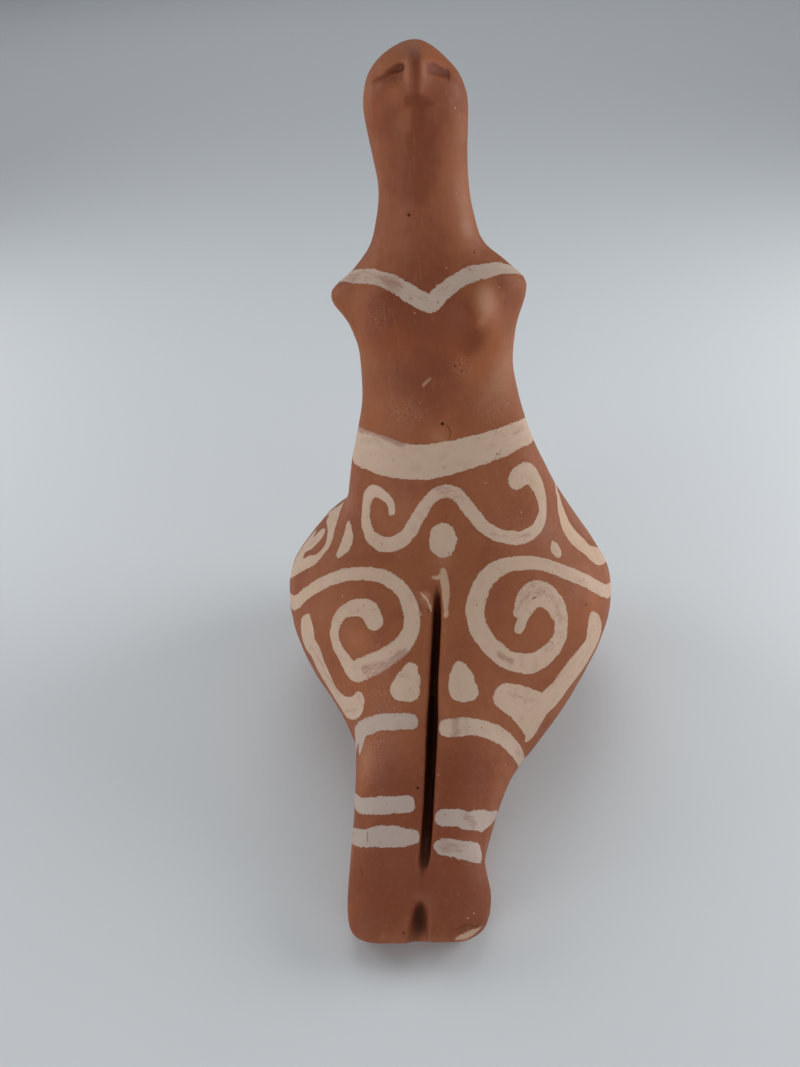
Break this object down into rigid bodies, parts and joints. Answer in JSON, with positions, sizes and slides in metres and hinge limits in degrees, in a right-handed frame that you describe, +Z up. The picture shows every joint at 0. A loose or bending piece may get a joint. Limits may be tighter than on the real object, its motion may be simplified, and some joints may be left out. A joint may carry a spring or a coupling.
{
  "type": "goddess figurine",
  "caption": "Seated clay goddess figurine with pillar head, short arm stubs, broad hips and legs stretched forward, in red fired clay with cream painted spirals.",
  "frame": {"origin": "on the flat underside, below the middle of the hips, where the figurine rests", "axes": "+Z up to the crown, -Y towards the feet and the side the face looks to, +X to the right as the viewer sees it"},
  "size_m": [0.0804, 0.1145, 0.1475],
  "materials": {
    "fired_clay": "smoothed matt red terracotta with cream painted slip"
  },
  "bodies": {
    "root": {"goddess_figurine": "fired_clay"}
  },
  "joints": []
}
